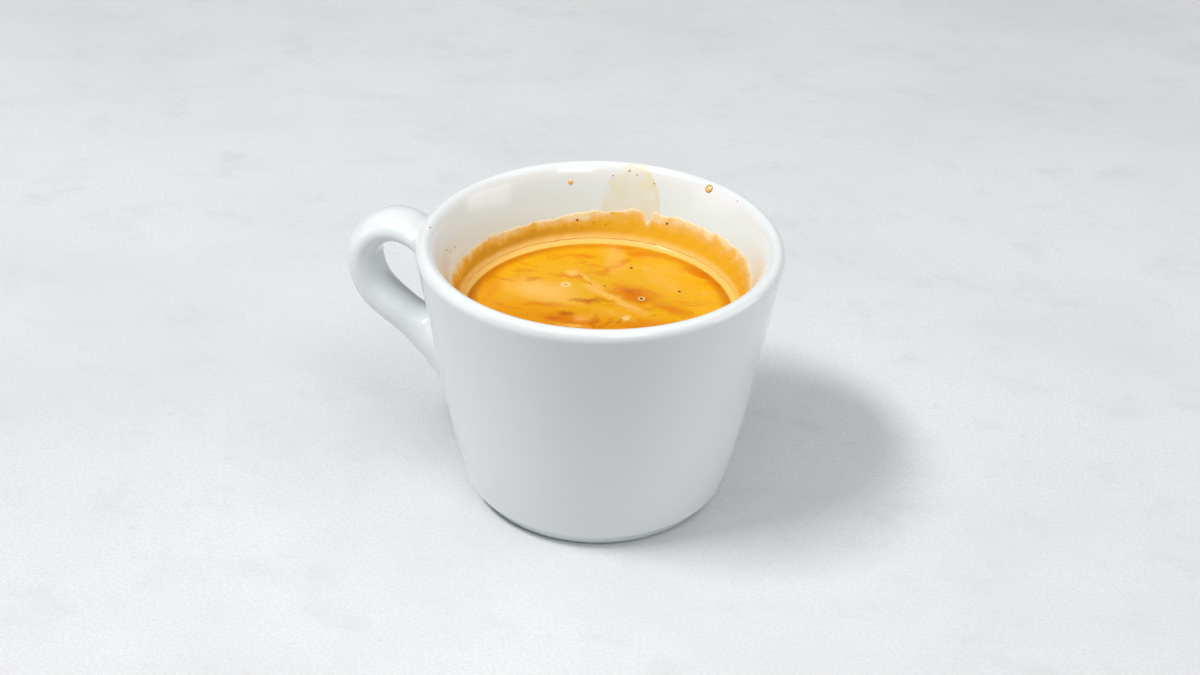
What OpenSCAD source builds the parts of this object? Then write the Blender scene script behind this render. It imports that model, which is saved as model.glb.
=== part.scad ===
// An espresso shot in a thick-walled porcelain cup with one ear handle.
// Origin: centre of the cup's foot, on the surface it stands on.
// +Z points up along the cup's axis and the handle is on the -X side.
// All sizes are in millimetres.

/* [Cup outside] */
// Height of the cup over the surface it stands on
cup_height = 50; // [44:1:70]
// Diameter of the rim, measured outside
rim_d = 65; // [58:1:84]
// How far the straight side leans out for each mm of height
side_lean = 0.162; // [0.12:0.002:0.2]
// Height at which the side starts to curve in to the base
waist_z = 20; // [12:1:26]
// Extra pull-in of the side between the waist and the base edge
base_tuck = 0.9; // [0.2:0.05:2]

/* [Foot] */
// Height of the crisp edge between the side and the foot
foot_h = 2.95; // [2:0.1:4]
// How far the foot slopes in under that edge
foot_in = 1.95; // [1:0.05:3]
// Width of the flat ring that the cup stands on
foot_ring_w = 2.4; // [1.5:0.1:5]
// Depth of the recess inside the foot ring
foot_recess = 1.4; // [0.5:0.1:2.5]

/* [Cup inside] */
// Width of the rounded outer half of the lip
lip_w = 1.5; // [1:0.1:2.5]
// Height of the rounded outer half of the lip
lip_h = 1.7; // [1:0.1:3]
// Depth below the rim at which the inner side turns straight
throat_depth = 13; // [9:0.5:18]
// Wall thickness at that depth
throat_wall = 5.2; // [4:0.1:6]
// How far the inner side leans out for each mm of height below the throat
inner_lean = 0.25; // [0.18:0.01:0.3]
// Thickness of the cup's bottom, over the foot recess
bottom_t = 4.8; // [3:0.1:7]
// Radius of the curve between the inner side and the bottom
bowl_r = 12; // [6:0.5:14]

/* [Handle] */
// Width of the handle's oval section, side to side
handle_w = 9.8; // [7:0.1:13]
// Thickness of the handle's oval section
handle_t = 6; // [4.5:0.1:8]
// How far below the rim the upper arm's centreline enters the side
handle_drop = 8.5; // [6:0.5:12]
// Height at which the lower arm's centreline enters the side
handle_low_z = 13.1; // [9:0.5:18]
// How far the centreline stands off the side at its outermost point
handle_stand = 12.9; // [10:0.5:18]
// Height of the outermost point, below the rim
handle_peak_drop = 9.2; // [7:0.5:14]
// Direction in which the upper arm leaves the side, degrees over level
handle_top_angle = 58; // [30:1:65]
// Direction in which the lower arm leaves the side, degrees over level
handle_low_angle = 68; // [50:1:75]

/* [Drink] */
// How far the drink's surface lies below the rim
fill_drop = 14.05; // [8:0.5:25]
// Thickness of the crema on top of the coffee
crema_t = 2.6; // [1:0.1:5]
// Width of the raised collar where the crema meets the side
collar_w = 1.35; // [0.5:0.05:3]
// Height of that collar at the side
collar_h = 1.4; // [0.5:0.05:3]

/* [Hidden] */

// Colours
PORCELAIN = [0.93, 0.94, 0.94];
COFFEE = [0.16, 0.07, 0.03];
CREMA = [0.86, 0.60, 0.24];

// Steps along a quarter of lip, the curved throat, the bowl's curve and the lower side
LIP_STEPS = 6;
THROAT_STEPS = 10;
BOWL_STEPS = 8;
TUCK_STEPS = 6;
COLLAR_STEPS = 6;
// Rings along each half of the handle, and points round its section
HANDLE_RINGS = 16;
SECTION_POINTS = 24;
ROUND = 180;

// How far the collar's hollow leaves the side for each mm down
COLLAR_LEAN = 0.55;
// Rounding of the foot ring's two lower edges
FOOT_EDGE = 0.35;
// How deep the handle's centreline ends in the wall
ROOT_DEPTH = 2;
// Share by which the handle is wider and thinner where it enters the side
ROOT_FLARE = 0.3;
ROOT_THIN = -0.6;
// Lengths of the upper arm's tangents, as shares of how far the handle stands off the side
PULL_TOP = 1;
PULL_PEAK_UP = 0.372;
// Lengths of the lower arm's tangents, as shares of the handle's height
PULL_PEAK_DOWN = 0.437;
PULL_LOW = 0.737;

rim_r = rim_d / 2;
shoulder_z = cup_height - lip_h;
waist_r = rim_r - side_lean * (shoulder_z - waist_z);
base_r = waist_r - side_lean * (waist_z - foot_h) - base_tuck;
foot_r = base_r - foot_in;
floor_z = foot_recess + bottom_t;
drink_z = cup_height - fill_drop;
throat_z = cup_height - throat_depth;

// Radius of the cup's outer side at height z
function side_r(z) =
    z >= waist_z ? rim_r - side_lean * (shoulder_z - z)
    : waist_r - side_lean * (waist_z - z) - base_tuck * pow((waist_z - z) / (waist_z - foot_h), 2);

// Point and direction at t on a cubic curve with the corners p
function cubic(p, t) =
    pow(1 - t, 3) * p[0] + 3 * t * pow(1 - t, 2) * p[1] + 3 * t * t * (1 - t) * p[2] + pow(t, 3) * p[3];
function cubic_dir(p, t) =
    let (d = pow(1 - t, 2) * (p[1] - p[0]) + 2 * t * (1 - t) * (p[2] - p[1]) + t * t * (p[3] - p[2]))
    d / norm(d);

// Inner side, as [radius, height] points from the axis to the top of the lip
throat_r = side_r(throat_z) - throat_wall;
inner_angle = atan(inner_lean);
bowl_z = floor_z + bowl_r;
bowl_side_z = bowl_z - bowl_r * sin(inner_angle);
bowl_side_r = throat_r - inner_lean * (throat_z - bowl_side_z);
bowl_centre_r = bowl_side_r - bowl_r * cos(inner_angle);
bowl_curve = [
    for (i = [0:BOWL_STEPS])
        let (a = -90 + i / BOWL_STEPS * (90 - inner_angle))
        [bowl_centre_r + bowl_r * cos(a), bowl_z + bowl_r * sin(a)]
];
throat_rise = 0.62 * throat_depth;
lip_corners = [
    [throat_r, throat_z],
    [throat_r + inner_lean * throat_rise, throat_z + throat_rise],
    [rim_r - 2.27 * lip_w, cup_height],
    [rim_r - lip_w, cup_height]
];
throat_curve = [for (i = [0:THROAT_STEPS]) cubic(lip_corners, i / THROAT_STEPS)];
inner_side = concat([[0, floor_z]], bowl_curve, throat_curve);

// Inner side's radius at height z, read off its own points
function inner_r(z, i = 1) =
    inner_side[i + 1][1] >= z
        ? let (a = inner_side[i], b = inner_side[i + 1])
            a[0] + (b[0] - a[0]) * (z - a[1]) / (b[1] - a[1])
        : inner_r(z, i + 1);

// The inner side's points between two heights, from the lower to the upper
function inner_between(low, high) = concat(
    [[inner_r(low), low]],
    [for (p = inner_side) if (p[1] > low && p[1] < high) p],
    [[inner_r(high), high]]
);

module turned(outline) {
    rotate_extrude($fn = ROUND) polygon(outline);
}

// The cup without its handle
module cup_wall() {
    lip = [
        for (i = [1:LIP_STEPS])
            let (a = 90 - i / LIP_STEPS * 90)
            [rim_r - lip_w + lip_w * cos(a), shoulder_z + lip_h * sin(a)]
    ];
    side = [
        for (i = [0:TUCK_STEPS])
            let (z = waist_z - i / TUCK_STEPS * (waist_z - foot_h))
            [side_r(z), z]
    ];
    ring_in = foot_r - FOOT_EDGE - foot_ring_w;
    foot = [
        [foot_r, FOOT_EDGE],
        [foot_r - FOOT_EDGE, 0],
        [ring_in, 0],
        [ring_in - FOOT_EDGE, FOOT_EDGE],
        [ring_in - foot_recess, foot_recess],
        [0, foot_recess]
    ];
    turned(concat(inner_side, lip, side, foot));
}

// The handle's centreline: two cubic curves that meet at its outermost point,
// as [distance from the cup's axis, height]
top_z = cup_height - handle_drop;
peak_z = cup_height - handle_peak_drop;
handle_h = top_z - handle_low_z;
peak = [side_r(peak_z) + handle_stand, peak_z];
top_root = [side_r(top_z) - ROOT_DEPTH, top_z];
low_root = [side_r(handle_low_z) - ROOT_DEPTH, handle_low_z];
upper_arm = [
    top_root,
    top_root + PULL_TOP * handle_stand * [cos(handle_top_angle), sin(handle_top_angle)],
    peak + [0, PULL_PEAK_UP * handle_stand],
    peak
];
lower_arm = [
    peak,
    peak - [0, PULL_PEAK_DOWN * handle_h],
    low_root + PULL_LOW * handle_h * [cos(handle_low_angle), sin(handle_low_angle)],
    low_root
];

// One ring of the handle's oval section at s, from 0 at the top root to 1 at the lower root
function handle_ring(s) =
    let (
        arm = s < 0.5 ? upper_arm : lower_arm,
        t = s < 0.5 ? 2 * s : 2 * s - 1,
        p = cubic(arm, t),
        d = cubic_dir(arm, t),
        near_root = pow(abs(2 * s - 1), 3),
        half_w = handle_w / 2 * (1 + ROOT_FLARE * near_root),
        half_t = handle_t / 2 * (1 + ROOT_THIN * near_root)
    )
    [
        for (i = [0:SECTION_POINTS - 1])
            let (
                a = 360 * i / SECTION_POINTS,
                out = half_t * cos(a)
            )
            [-(p[0] - d[1] * out), half_w * sin(a), p[1] + d[0] * out]
    ];

// The handle, an oval bar swept along the centreline
module handle() {
    rings = 2 * HANDLE_RINGS;
    n = SECTION_POINTS;
    points = [for (j = [0:rings]) each handle_ring(j / rings)];
    sides = [
        for (j = [0:rings - 1], i = [0:n - 1])
            let (k = (i + 1) % n)
            each [
                [j * n + i, (j + 1) * n + k, j * n + k],
                [j * n + i, (j + 1) * n + i, (j + 1) * n + k]
            ]
    ];
    first_end = [for (i = [0:n - 1]) i];
    last_end = [for (i = [n - 1:-1:0]) rings * n + i];
    polyhedron(points, concat([first_end, last_end], sides));
}

module cup() {
    color(PORCELAIN) union() {
        cup_wall();
        handle();
    }
}

// The coffee below the crema
module coffee() {
    top = drink_z - crema_t;
    color(COFFEE)
        turned(concat([[0, floor_z]], inner_between(floor_z, top), [[0, top]]));
}

// The crema: a flat layer whose edge climbs the side in a hollow collar
module crema() {
    bottom = drink_z - crema_t;
    collar_z = drink_z + collar_h;
    edge_r = inner_r(collar_z);
    hollow = [edge_r - COLLAR_LEAN * collar_h, drink_z];
    corners = [[edge_r, collar_z], hollow, hollow, [edge_r - collar_w, drink_z]];
    collar = [for (i = [1:COLLAR_STEPS]) cubic(corners, i / COLLAR_STEPS)];
    color(CREMA)
        turned(concat([[0, bottom]], inner_between(bottom, collar_z), collar, [[0, drink_z]]));
}

cup();
coffee();
crema();
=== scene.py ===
import math

import bmesh
import bpy
import numpy as np
from bpy.props import FloatProperty, FloatVectorProperty, IntProperty, PointerProperty
from mathutils import Matrix, Vector


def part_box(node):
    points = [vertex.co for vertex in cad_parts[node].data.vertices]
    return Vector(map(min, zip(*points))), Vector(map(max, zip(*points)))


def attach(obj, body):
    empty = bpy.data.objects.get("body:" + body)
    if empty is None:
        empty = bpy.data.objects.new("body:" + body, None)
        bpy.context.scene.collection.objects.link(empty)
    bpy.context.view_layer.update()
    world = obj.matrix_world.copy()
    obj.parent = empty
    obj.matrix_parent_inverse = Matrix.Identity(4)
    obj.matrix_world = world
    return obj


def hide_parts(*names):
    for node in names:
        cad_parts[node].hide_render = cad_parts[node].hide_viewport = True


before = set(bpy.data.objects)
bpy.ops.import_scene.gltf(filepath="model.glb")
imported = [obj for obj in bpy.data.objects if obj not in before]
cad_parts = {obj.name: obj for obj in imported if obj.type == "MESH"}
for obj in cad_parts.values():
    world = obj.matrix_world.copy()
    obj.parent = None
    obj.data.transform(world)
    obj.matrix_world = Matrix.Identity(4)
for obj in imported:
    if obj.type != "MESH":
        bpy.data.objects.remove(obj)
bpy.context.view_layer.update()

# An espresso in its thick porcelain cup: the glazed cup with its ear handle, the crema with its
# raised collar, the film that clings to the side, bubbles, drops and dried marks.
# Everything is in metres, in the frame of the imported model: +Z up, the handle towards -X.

bl_info = {
    "name": "Espresso in a porcelain cup",
    "version": (1, 0, 0),
    "blender": (4, 5, 0),
    "location": "3D View > Sidebar > Espresso",
    "description": "Builds a shot of espresso with its crema in a small thick-walled cup",
    "category": "Object",
}

MM = 0.001
CUP_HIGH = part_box("cup")[1]
CREMA_LOW, CREMA_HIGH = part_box("crema")


def tone(code):
    """Linear colour of a six-digit screen colour."""
    parts = [int(code[i:i + 2], 16) / 255 for i in (0, 2, 4)]
    return tuple(c / 12.92 if c <= 0.04045 else ((c + 0.055) / 1.055) ** 2.4 for c in parts)


def length(name, text, value):
    """A length property in metres."""
    return FloatProperty(name=name, description=text, default=value, unit="LENGTH", precision=5)


def number(name, text, value):
    """A plain number property."""
    return FloatProperty(name=name, description=text, default=value)


def degrees(name, text, value):
    """An angle property, from degrees."""
    return FloatProperty(name=name, description=text, default=math.radians(value), subtype="ANGLE")


def power(name, text, value):
    """A lamp power property in watts."""
    return FloatProperty(name=name, description=text, default=value, unit="POWER")


def colour(name, text, code):
    """A colour property from a six-digit screen colour."""
    return FloatVectorProperty(name=name, description=text, default=tone(code), subtype="COLOR",
                               size=3, min=0, max=1)


class CupSizes(bpy.types.PropertyGroup):
    """Sizes of the porcelain cup."""

    rim_radius: length("Rim radius", "Radius of the rim, outside", CUP_HIGH.x)
    height: length("Height", "Height of the cup", CUP_HIGH.z)
    lean: number("Side lean", "How far the side leans out for its height", 0.162)
    waist: length("Waist", "Height where the side starts to curve in", 20 * MM)
    tuck: length("Base tuck", "Extra pull-in of the side at the base edge", 0.9 * MM)
    foot_height: length("Foot height", "Height of the crisp base edge", 2.95 * MM)
    foot_in: length("Foot slope", "How far the foot slopes in", 1.95 * MM)
    foot_ring: length("Foot ring", "Width of the ring that the cup stands on", 2.4 * MM)
    recess: length("Foot recess", "Depth of the recess inside the foot ring", 1.4 * MM)
    lip_width: length("Lip width", "Width of the lip's rounded outer half", 1.5 * MM)
    lip_height: length("Lip height", "Height of the lip's rounded outer half", 1.7 * MM)
    throat_depth: length("Throat depth", "Where the inner side turns straight", 13 * MM)
    throat_wall: length("Throat wall", "Wall thickness at the throat", 5.2 * MM)
    inner_lean: number("Inner lean", "How far the inner side leans out for its height", 0.25)
    bottom: length("Bottom", "Thickness of the bottom", 4.8 * MM)
    bowl: length("Bowl curve", "Radius between the inner side and the bottom", 12 * MM)
    glaze: colour("Glaze", "Colour of the glaze", "E5E9EA")
    # Painted light: a lighter, cooler copy of the glaze, used inside the cup
    lit_inner_glaze: colour("Inner glaze", "Colour of the glaze inside", "E1EFF3")
    stain: colour("Dried coffee", "Colour of the dried marks inside the rim", "E4DCB8")
    biscuit: colour("Bare foot", "Colour of the unglazed foot ring", "DDD8CC")


class HandleSizes(bpy.types.PropertyGroup):
    """Sizes of the ear handle."""

    width: length("Width", "Width of the oval section", 9.8 * MM)
    thickness: length("Thickness", "Thickness of the oval section", 6 * MM)
    drop: length("Drop", "How far below the rim the upper arm enters the side", 8.5 * MM)
    low: length("Lower root", "Height at which the lower arm enters the side", 13.1 * MM)
    stand: length("Stand-off", "How far the centreline stands off the side", 12.9 * MM)
    peak_drop: length("Peak drop", "Height of the outermost point below the rim", 9.2 * MM)
    top_angle: degrees("Upper angle", "Direction in which the upper arm leaves the side", 58)
    low_angle: degrees("Lower angle", "Direction in which the lower arm leaves the side", 68)
    fillet: length("Root fillet", "Reach of the soft fillets at the two roots", 2.8 * MM)
    tail: length("Tail", "How far the lower arm runs on inside the wall while it thins out", 9 * MM)
    web: length("Web", "Extra reach of the fillet in the crotch of the lower arm", 5.4 * MM)
    web_height: length("Web height", "Height of that crotch", 26 * MM)
    top_width: number("Upper root width", "Share added to the section's width there", 0.1)
    top_thickness: number("Upper root thickness", "Share added to the section's thickness there", -0.52)
    root_width: number("Lower root width", "Share added to the section's width there", -0.28)
    root_thickness: number("Lower root thickness", "Share added to the section's thickness there", 0.08)


class DrinkSizes(bpy.types.PropertyGroup):
    """Sizes and colours of the drink."""

    level: length("Level", "Height of the drink's surface", CREMA_HIGH.z - 1.4 * MM)
    bottom: length("Crema bottom", "Height of the crema's underside", CREMA_LOW.z)
    edge_radius: length("Edge radius", "Radius where the collar meets the side", CREMA_HIGH.x)
    collar_width: length("Collar width", "Width of the hollow collar", 1.7 * MM)
    collar_bend: number("Collar bend", "1 for a straight slope, more for a hollow one", 1.4)
    relief: length("Relief", "Height of the crema's soft unevenness", 0.0015 * MM)
    into_wall: length("Into the wall", "How far the crema reaches into the wall", 0.15 * MM)
    film: length("Film height", "Mean height of the film's ragged edge", 41.55 * MM)
    film_thickness: length("Film thickness", "Thickness of the film above the collar", 0.16 * MM)
    film_foot: length("Film foot", "Extra thickness of the film at the collar", 0.27 * MM)
    bubble: length("Bubble radius", "Largest radius of the scattered bubbles", 0.1 * MM)
    bubbles: IntProperty(name="Bubbles", description="Scattered bubbles on each cm2", default=7)
    seed: IntProperty(name="Seed", description="Seed of everything scattered", default=4)
    gold: colour("Gold", "Main colour of the crema", "DEA40C")
    pale: colour("Pale", "Colour of the pale foam", "EBB356")
    orange: colour("Orange", "Colour of the wetter foam", "D07402")
    brown: colour("Brown", "Colour of the streaks", "A03A06")


class StageSettings(bpy.types.PropertyGroup):
    """Camera, light and floor."""

    lens: FloatProperty(name="Lens", description="Focal length", default=60, unit="CAMERA")
    azimuth: degrees("Azimuth", "Camera's turn round the cup", 14)
    elevation: degrees("Elevation", "Camera's height angle", 31.26)
    roll: degrees("Roll", "Camera's roll", 1.38)
    distance: length("Distance", "From the camera to the point it looks at", 361.7 * MM)
    aim_side: length("Aim side", "Sideways place of the point looked at", 0.32 * MM)
    aim_height: length("Aim height", "Height of the point looked at", 29.8 * MM)
    floor: colour("Floor", "Colour of the table", "E2E3E5")
    key: power("Key light", "Power of the key light", 7.6)
    overhead: power("Overhead light", "Power of the broad overhead light", 4.9)
    fill: power("Fill light", "Power of the fill light in front", 2.3)
    left: power("Left panel", "Power of the soft panel on the left", 1.17)
    right: power("Right panel", "Power of the soft panel on the right", 2.21)
    ambient: number("Ambient", "Strength of the light from all round", 0.08)


# ---------------------------------------------------------------- nodes

class Wires:
    """Adds nodes to a tree and wires their sockets."""

    def __init__(self, tree):
        self.tree = tree

    def node(self, kind, inputs=None, **settings):
        made = self.tree.nodes.new(kind)
        for key, value in settings.items():
            setattr(made, key, value)
        for key, value in (inputs or {}).items():
            self.feed(made.inputs[key], value)
        return made

    def feed(self, socket, value):
        if isinstance(value, bpy.types.NodeSocket):
            self.tree.links.new(value, socket)
        elif isinstance(value, (tuple, list)) and socket.type == "RGBA" and len(value) == 3:
            socket.default_value = (*value, 1)
        else:
            socket.default_value = value

    def math(self, operation, *values):
        return self.node("ShaderNodeMath", dict(enumerate(values)), operation=operation).outputs[0]

    def times(self, *values):
        return self.math("MULTIPLY", *values)

    def plus(self, *values):
        return self.math("ADD", *values)

    def minus(self, *values):
        return self.math("SUBTRACT", *values)

    def larger(self, *values):
        return self.math("MAXIMUM", *values)

    def across(self, x, y):
        """Distance from the upright axis."""
        return self.math("SQRT", self.plus(self.times(x, x), self.times(y, y)))

    def vector(self, operation, *values):
        made = self.node("ShaderNodeVectorMath", dict(enumerate(values)), operation=operation)
        return made.outputs["Value" if operation == "LENGTH" else 0]

    def scaled(self, vector, factor):
        return self.node("ShaderNodeVectorMath", {0: vector, "Scale": factor},
                         operation="SCALE").outputs[0]

    def ease(self, value, low, high, start=0.0, end=1.0):
        """Smoothly from start to end while value goes from low to high."""
        return self.node("ShaderNodeMapRange", {0: value, 1: low, 2: high, 3: start, 4: end},
                         interpolation_type="SMOOTHSTEP").outputs[0]

    def line(self, value, low, high, start=0.0, end=1.0):
        return self.node("ShaderNodeMapRange", {0: value, 1: low, 2: high, 3: start, 4: end}).outputs[0]

    def parts(self, vector):
        return self.node("ShaderNodeSeparateXYZ", {0: vector}).outputs

    def joined(self, x, y, z):
        return self.node("ShaderNodeCombineXYZ", {0: x, 1: y, 2: z}).outputs[0]

    def noise(self, vector, scale, detail=3.0, roughness=0.5):
        return self.node("ShaderNodeTexNoise", {"Vector": vector, "Scale": scale, "Detail": detail,
                                                "Roughness": roughness}).outputs

    def mix(self, factor, a, b):
        return self.node("ShaderNodeMix", {0: factor, 6: a, 7: b}, data_type="RGBA").outputs[2]


class Paint(Wires):
    """A material's nodes, with object coordinates in millimetres to hand."""

    def __init__(self, name):
        self.material = bpy.data.materials.new(name)
        self.material.use_nodes = True
        super().__init__(self.material.node_tree)
        self.tree.nodes.clear()
        self.shader = self.node("ShaderNodeBsdfPrincipled")
        self.node("ShaderNodeOutputMaterial", {"Surface": self.shader.outputs[0]})
        place = self.node("ShaderNodeTexCoord").outputs["Object"]
        self.place = self.scaled(place, 1 / MM)

    def set(self, **values):
        for key, value in values.items():
            self.feed(self.shader.inputs[key.replace("_", " ").title().replace("Ior", "IOR")], value)

    def bump(self, height, distance, strength=1.0):
        made = self.node("ShaderNodeBump", {"Height": height, "Distance": distance,
                                            "Strength": strength})
        self.feed(self.shader.inputs["Normal"], made.outputs[0])

    def patch(self, place, x, y, long, wide, turn, soft=0.5):
        """1 in an oval patch, falling softly to 0 round it."""
        moved = self.node("ShaderNodeMapping", {"Vector": place, "Location": (x, y, 0),
                                                "Rotation": (0, 0, math.radians(turn)),
                                                "Scale": (long, wide, 1000)},
                          vector_type="TEXTURE").outputs[0]
        return self.ease(self.vector("LENGTH", moved), 1 + soft, 1 - soft)


# ---------------------------------------------------------------- meshes

def make_mesh(name, points, faces, material, smooth=True):
    """A linked object from points and faces, with its normals made to point outwards."""
    mesh = bpy.data.meshes.new(name)
    mesh.from_pydata([tuple(p) for p in points], [], faces)
    body = bmesh.new()
    body.from_mesh(mesh)
    loose = [v for v in body.verts if not v.link_faces]
    bmesh.ops.delete(body, geom=loose, context="VERTS")
    bmesh.ops.recalc_face_normals(body, faces=body.faces)
    body.to_mesh(mesh)
    body.free()
    mesh.polygons.foreach_set("use_smooth", [smooth] * len(mesh.polygons))
    mesh.materials.append(material)
    made = bpy.data.objects.new(name, mesh)
    bpy.context.scene.collection.objects.link(made)
    return made


def finish_piece(piece, slot, *nodes):
    """Seats a finished piece on the cup's body and hides the imported parts that it replaces."""
    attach(piece, "root")
    if nodes:
        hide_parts(*nodes)


def cubic(corners, t):
    """Points on a cubic curve at each t."""
    t = np.asarray(t, float)[:, None]
    a, b, c, d = (np.asarray(p, float) for p in corners)
    return (1 - t) ** 3 * a + 3 * t * (1 - t) ** 2 * b + 3 * t ** 2 * (1 - t) * c + t ** 3 * d


def cubic_direction(corners, t):
    t = np.asarray(t, float)[:, None]
    a, b, c, d = (np.asarray(p, float) for p in corners)
    way = (1 - t) ** 2 * (b - a) + 2 * t * (1 - t) * (c - b) + t ** 2 * (d - c)
    return way / np.linalg.norm(way, axis=1, keepdims=True)


def rounded(outline, radii, steps=5):
    """The outline with a curve in place of each corner whose index has a radius."""
    made = []
    for i, corner in enumerate(np.asarray(outline, float)):
        reach = radii.get(i, 0)
        if not reach:
            made.append(corner)
            continue
        before = outline[i - 1] - corner
        after = outline[i + 1] - corner
        start = corner + before / np.linalg.norm(before) * reach
        end = corner + after / np.linalg.norm(after) * reach
        for t in np.linspace(0, 1, steps + 1):
            made.append((1 - t) ** 2 * start + 2 * t * (1 - t) * corner + t ** 2 * end)
    return np.array(made)


# ---------------------------------------------------------------- cup

# Columns round the cup; column 0 lies towards the handle
COLUMNS = 288
# Heights between which the rows of the side lie, and the rows in each band. The first and
# third bands hold the openings where the handle grows out of the side.
ROOT_LOW_TOP, ROOT_LOW_BOTTOM = 25.5 * MM, 8.5 * MM
ROOT_HIGH_BOTTOM = 37.5 * MM
HIGH_ROWS, MIDDLE_ROWS, LOW_ROWS, BASE_ROWS = 16, 12, 18, 6
HIGH_HALF, LOW_HALF = 13, 12
RING_POINTS = 4 * HIGH_HALF + 2 * HIGH_ROWS
# Lengths of the centreline's tangents: the upper arm's as shares of how far the handle stands
# off the side, the lower arm's as shares of the handle's height
PULL_PEAK_UP = 0.372
PULL_PEAK_DOWN, PULL_LOW = 0.437, 0.737
# How deep the centreline ends in the wall
ROOT_DEPTH = 2 * MM
# Samples on each arm and on the tail inside the wall
ARM_SAMPLES, TAIL_SAMPLES = 140, 60
# How the section narrows and thins along that tail
TAIL_NARROWS, TAIL_THINS = 0.25, 0.5
# Spacing of the rings along the handle, and the loops that join its ends to the side
RING_STEP = 0.8 * MM
HIGH_LOOPS, LOW_LOOPS = 9, 25
# Rings at each end of the handle that the fillets may move
HIGH_SOFT, LOW_SOFT = 8, 18
# Height over which the upper fillet fades out under the rim, and that of the lower arm's web
FADE, WEB_REACH = 5 * MM, 7.5 * MM


def side_radius(z, cup):
    """Radius of the outer side at height z, with the lip's rounding."""
    shoulder = cup.height - cup.lip_height
    below = np.clip((cup.waist - z) / (cup.waist - cup.foot_height), 0, None)
    side = cup.rim_radius - cup.lean * (shoulder - np.minimum(z, shoulder)) - cup.tuck * below ** 2
    over = np.clip((z - shoulder) / cup.lip_height, 0, 1)
    return side - cup.lip_width * (1 - np.sqrt(1 - over ** 2))


def inner_outline(cup):
    """The inner side as [radius, height] points, from the middle of the bottom to the lip."""
    floor = cup.recess + cup.bottom
    throat = cup.height - cup.throat_depth
    throat_radius = side_radius(throat, cup) - cup.throat_wall
    angle = math.atan(cup.inner_lean)
    arc_height = floor + cup.bowl
    join = arc_height - cup.bowl * math.sin(angle)
    join_radius = throat_radius - cup.inner_lean * (throat - join)
    centre = join_radius - cup.bowl * math.cos(angle)
    flat = [(centre * i / 6, floor) for i in range(1, 6)]
    turns = np.linspace(-math.pi / 2, -angle, 14)
    curve = np.c_[centre + cup.bowl * np.cos(turns), arc_height + cup.bowl * np.sin(turns)]
    heights = np.linspace(join, throat, 16)[1:-1]
    straight = np.c_[join_radius + cup.inner_lean * (heights - join), heights]
    rise = 0.62 * cup.throat_depth
    corners = [
        (throat_radius, throat),
        (throat_radius + cup.inner_lean * rise, throat + rise),
        (cup.rim_radius - 2.27 * cup.lip_width, cup.height),
        (cup.rim_radius - cup.lip_width, cup.height),
    ]
    throat_curve = cubic(corners, np.linspace(0, 1, 36))
    return np.concatenate([flat, curve, straight, throat_curve])


def wall_radius(z, cup):
    """Radius of the inner side at height z, over the bowl's curve."""
    line = inner_outline(cup)
    line = line[line[:, 1] > cup.recess + cup.bottom + cup.bowl / 2]
    return np.interp(z, line[:, 1], line[:, 0])


def side_heights(cup):
    """Heights of the side's rows, from the shoulder down to the base edge."""
    marks = [cup.height - cup.lip_height, ROOT_HIGH_BOTTOM, ROOT_LOW_TOP, ROOT_LOW_BOTTOM,
             cup.foot_height + 0.4 * MM]
    rows = [HIGH_ROWS, MIDDLE_ROWS, LOW_ROWS, BASE_ROWS]
    bands = [np.linspace(a, b, n + 1)[:-1] for a, b, n in zip(marks, marks[1:], rows)]
    return np.concatenate([*bands, marks[-1:]])


def cup_outline(cup):
    """The whole cup's outline and the number of its first side row."""
    inner = inner_outline(cup)
    turns = np.linspace(math.pi / 2, 0, 14)[1:-1]
    shoulder = cup.height - cup.lip_height
    lip = np.c_[cup.rim_radius - cup.lip_width * (1 - np.cos(turns)),
                shoulder + cup.lip_height * np.sin(turns)]
    heights = side_heights(cup)
    side = np.c_[side_radius(heights, cup), heights]
    base = side_radius(cup.foot_height, cup)
    foot = base - cup.foot_in
    edge = 0.35 * MM
    ring = foot - edge - cup.foot_ring
    corners = np.array([
        side[-1],
        (base, cup.foot_height),
        (foot, edge),
        (foot - edge, 0),
        (ring, 0),
        (ring - edge, edge),
        (ring - cup.recess, cup.recess),
        (ring - 4 * MM, cup.recess),
    ])
    foot_line = rounded(corners, {1: 0.22 * MM, 2: 0.15 * MM, 3: 0.15 * MM, 4: 0.2 * MM,
                                  5: 0.15 * MM, 6: 0.5 * MM})
    under = [(foot_line[-1, 0] * i / 5, cup.recess) for i in range(4, 0, -1)]
    outline = np.concatenate([inner, lip, side, foot_line[1:], under])
    return outline, len(inner) + len(lip)


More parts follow.
